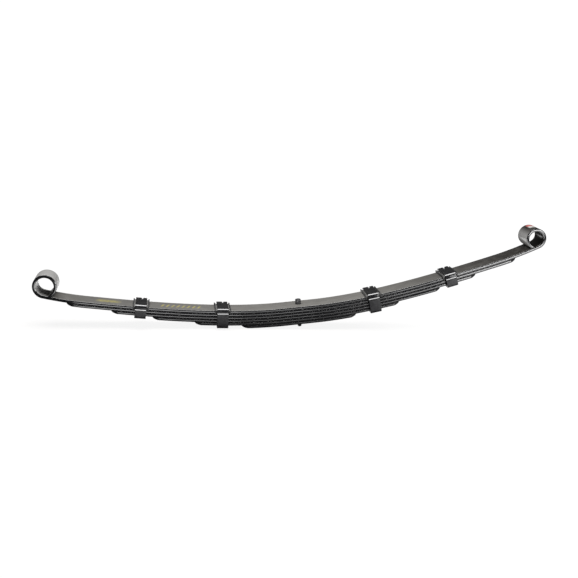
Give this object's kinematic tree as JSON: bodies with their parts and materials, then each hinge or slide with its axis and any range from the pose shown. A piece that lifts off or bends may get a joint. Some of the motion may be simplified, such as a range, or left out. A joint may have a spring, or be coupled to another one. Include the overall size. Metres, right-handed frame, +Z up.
{
  "type": "leaf spring",
  "caption": "Graduated semi-elliptic leaf spring with an upturned eye at each end of the main leaf, a centre bolt and riveted rebound clips.",
  "frame": {"origin": "middle of the centre bolt's lower end, at the bottom centre of the spring", "axes": "+X along the spring toward the eye with the smaller bore, +Y across the leaves, +Z up from the leaves toward the eyes"},
  "size_m": [1.2988, 0.0844, 0.2059],
  "materials": {
    "spring_steel": "satin dark paint on the flat faces, glossy on the leaf edges",
    "clip_steel": "glossy black paint, a little blotchy",
    "fastener_steel": "glossy black paint over machined steel",
    "liner_plastic": "matte black"
  },
  "bodies": {
    "centre": {"main_leaf_centre": "spring_steel", "leaf_2_centre": "spring_steel", "leaf_3_centre": "spring_steel", "leaf_4_centre": "spring_steel", "leaf_5_centre": "spring_steel", "leaf_6": "spring_steel", "centre_bolt": "fastener_steel", "centre_bolt_nut": "fastener_steel"},
    "left_arm": {"main_leaf_left": "spring_steel", "leaf_2_left": "spring_steel", "leaf_3_left": "spring_steel", "leaf_4_left": "spring_steel", "leaf_5_left": "spring_steel", "left_inner_clip_strap": "clip_steel", "left_inner_clip_liner": "liner_plastic", "left_inner_clip_rivet": "fastener_steel", "left_outer_clip_strap": "clip_steel", "left_outer_clip_liner": "liner_plastic", "left_outer_clip_rivet": "fastener_steel"},
    "right_arm": {"main_leaf_right": "spring_steel", "leaf_2_right": "spring_steel", "leaf_3_right": "spring_steel", "leaf_4_right": "spring_steel", "leaf_5_right": "spring_steel", "right_inner_clip_strap": "clip_steel", "right_inner_clip_liner": "liner_plastic", "right_inner_clip_rivet": "fastener_steel", "right_outer_clip_strap": "clip_steel", "right_outer_clip_liner": "liner_plastic", "right_outer_clip_rivet": "fastener_steel"}
  },
  "joints": [
    {"name": "left_arm_flex", "type": "hinge", "parent": "centre", "child": "left_arm", "pos_m": [-0.15837, 0, 0.02698], "axis": [0, -1, 0], "range_deg": [0, 11], "stiffness_Nm_per_rad": 4900},
    {"name": "right_arm_flex", "type": "hinge", "parent": "centre", "child": "right_arm", "pos_m": [0.15837, 0, 0.02698], "axis": [0, 1, 0], "range_deg": [0, 11], "stiffness_Nm_per_rad": 4900}
  ]
}
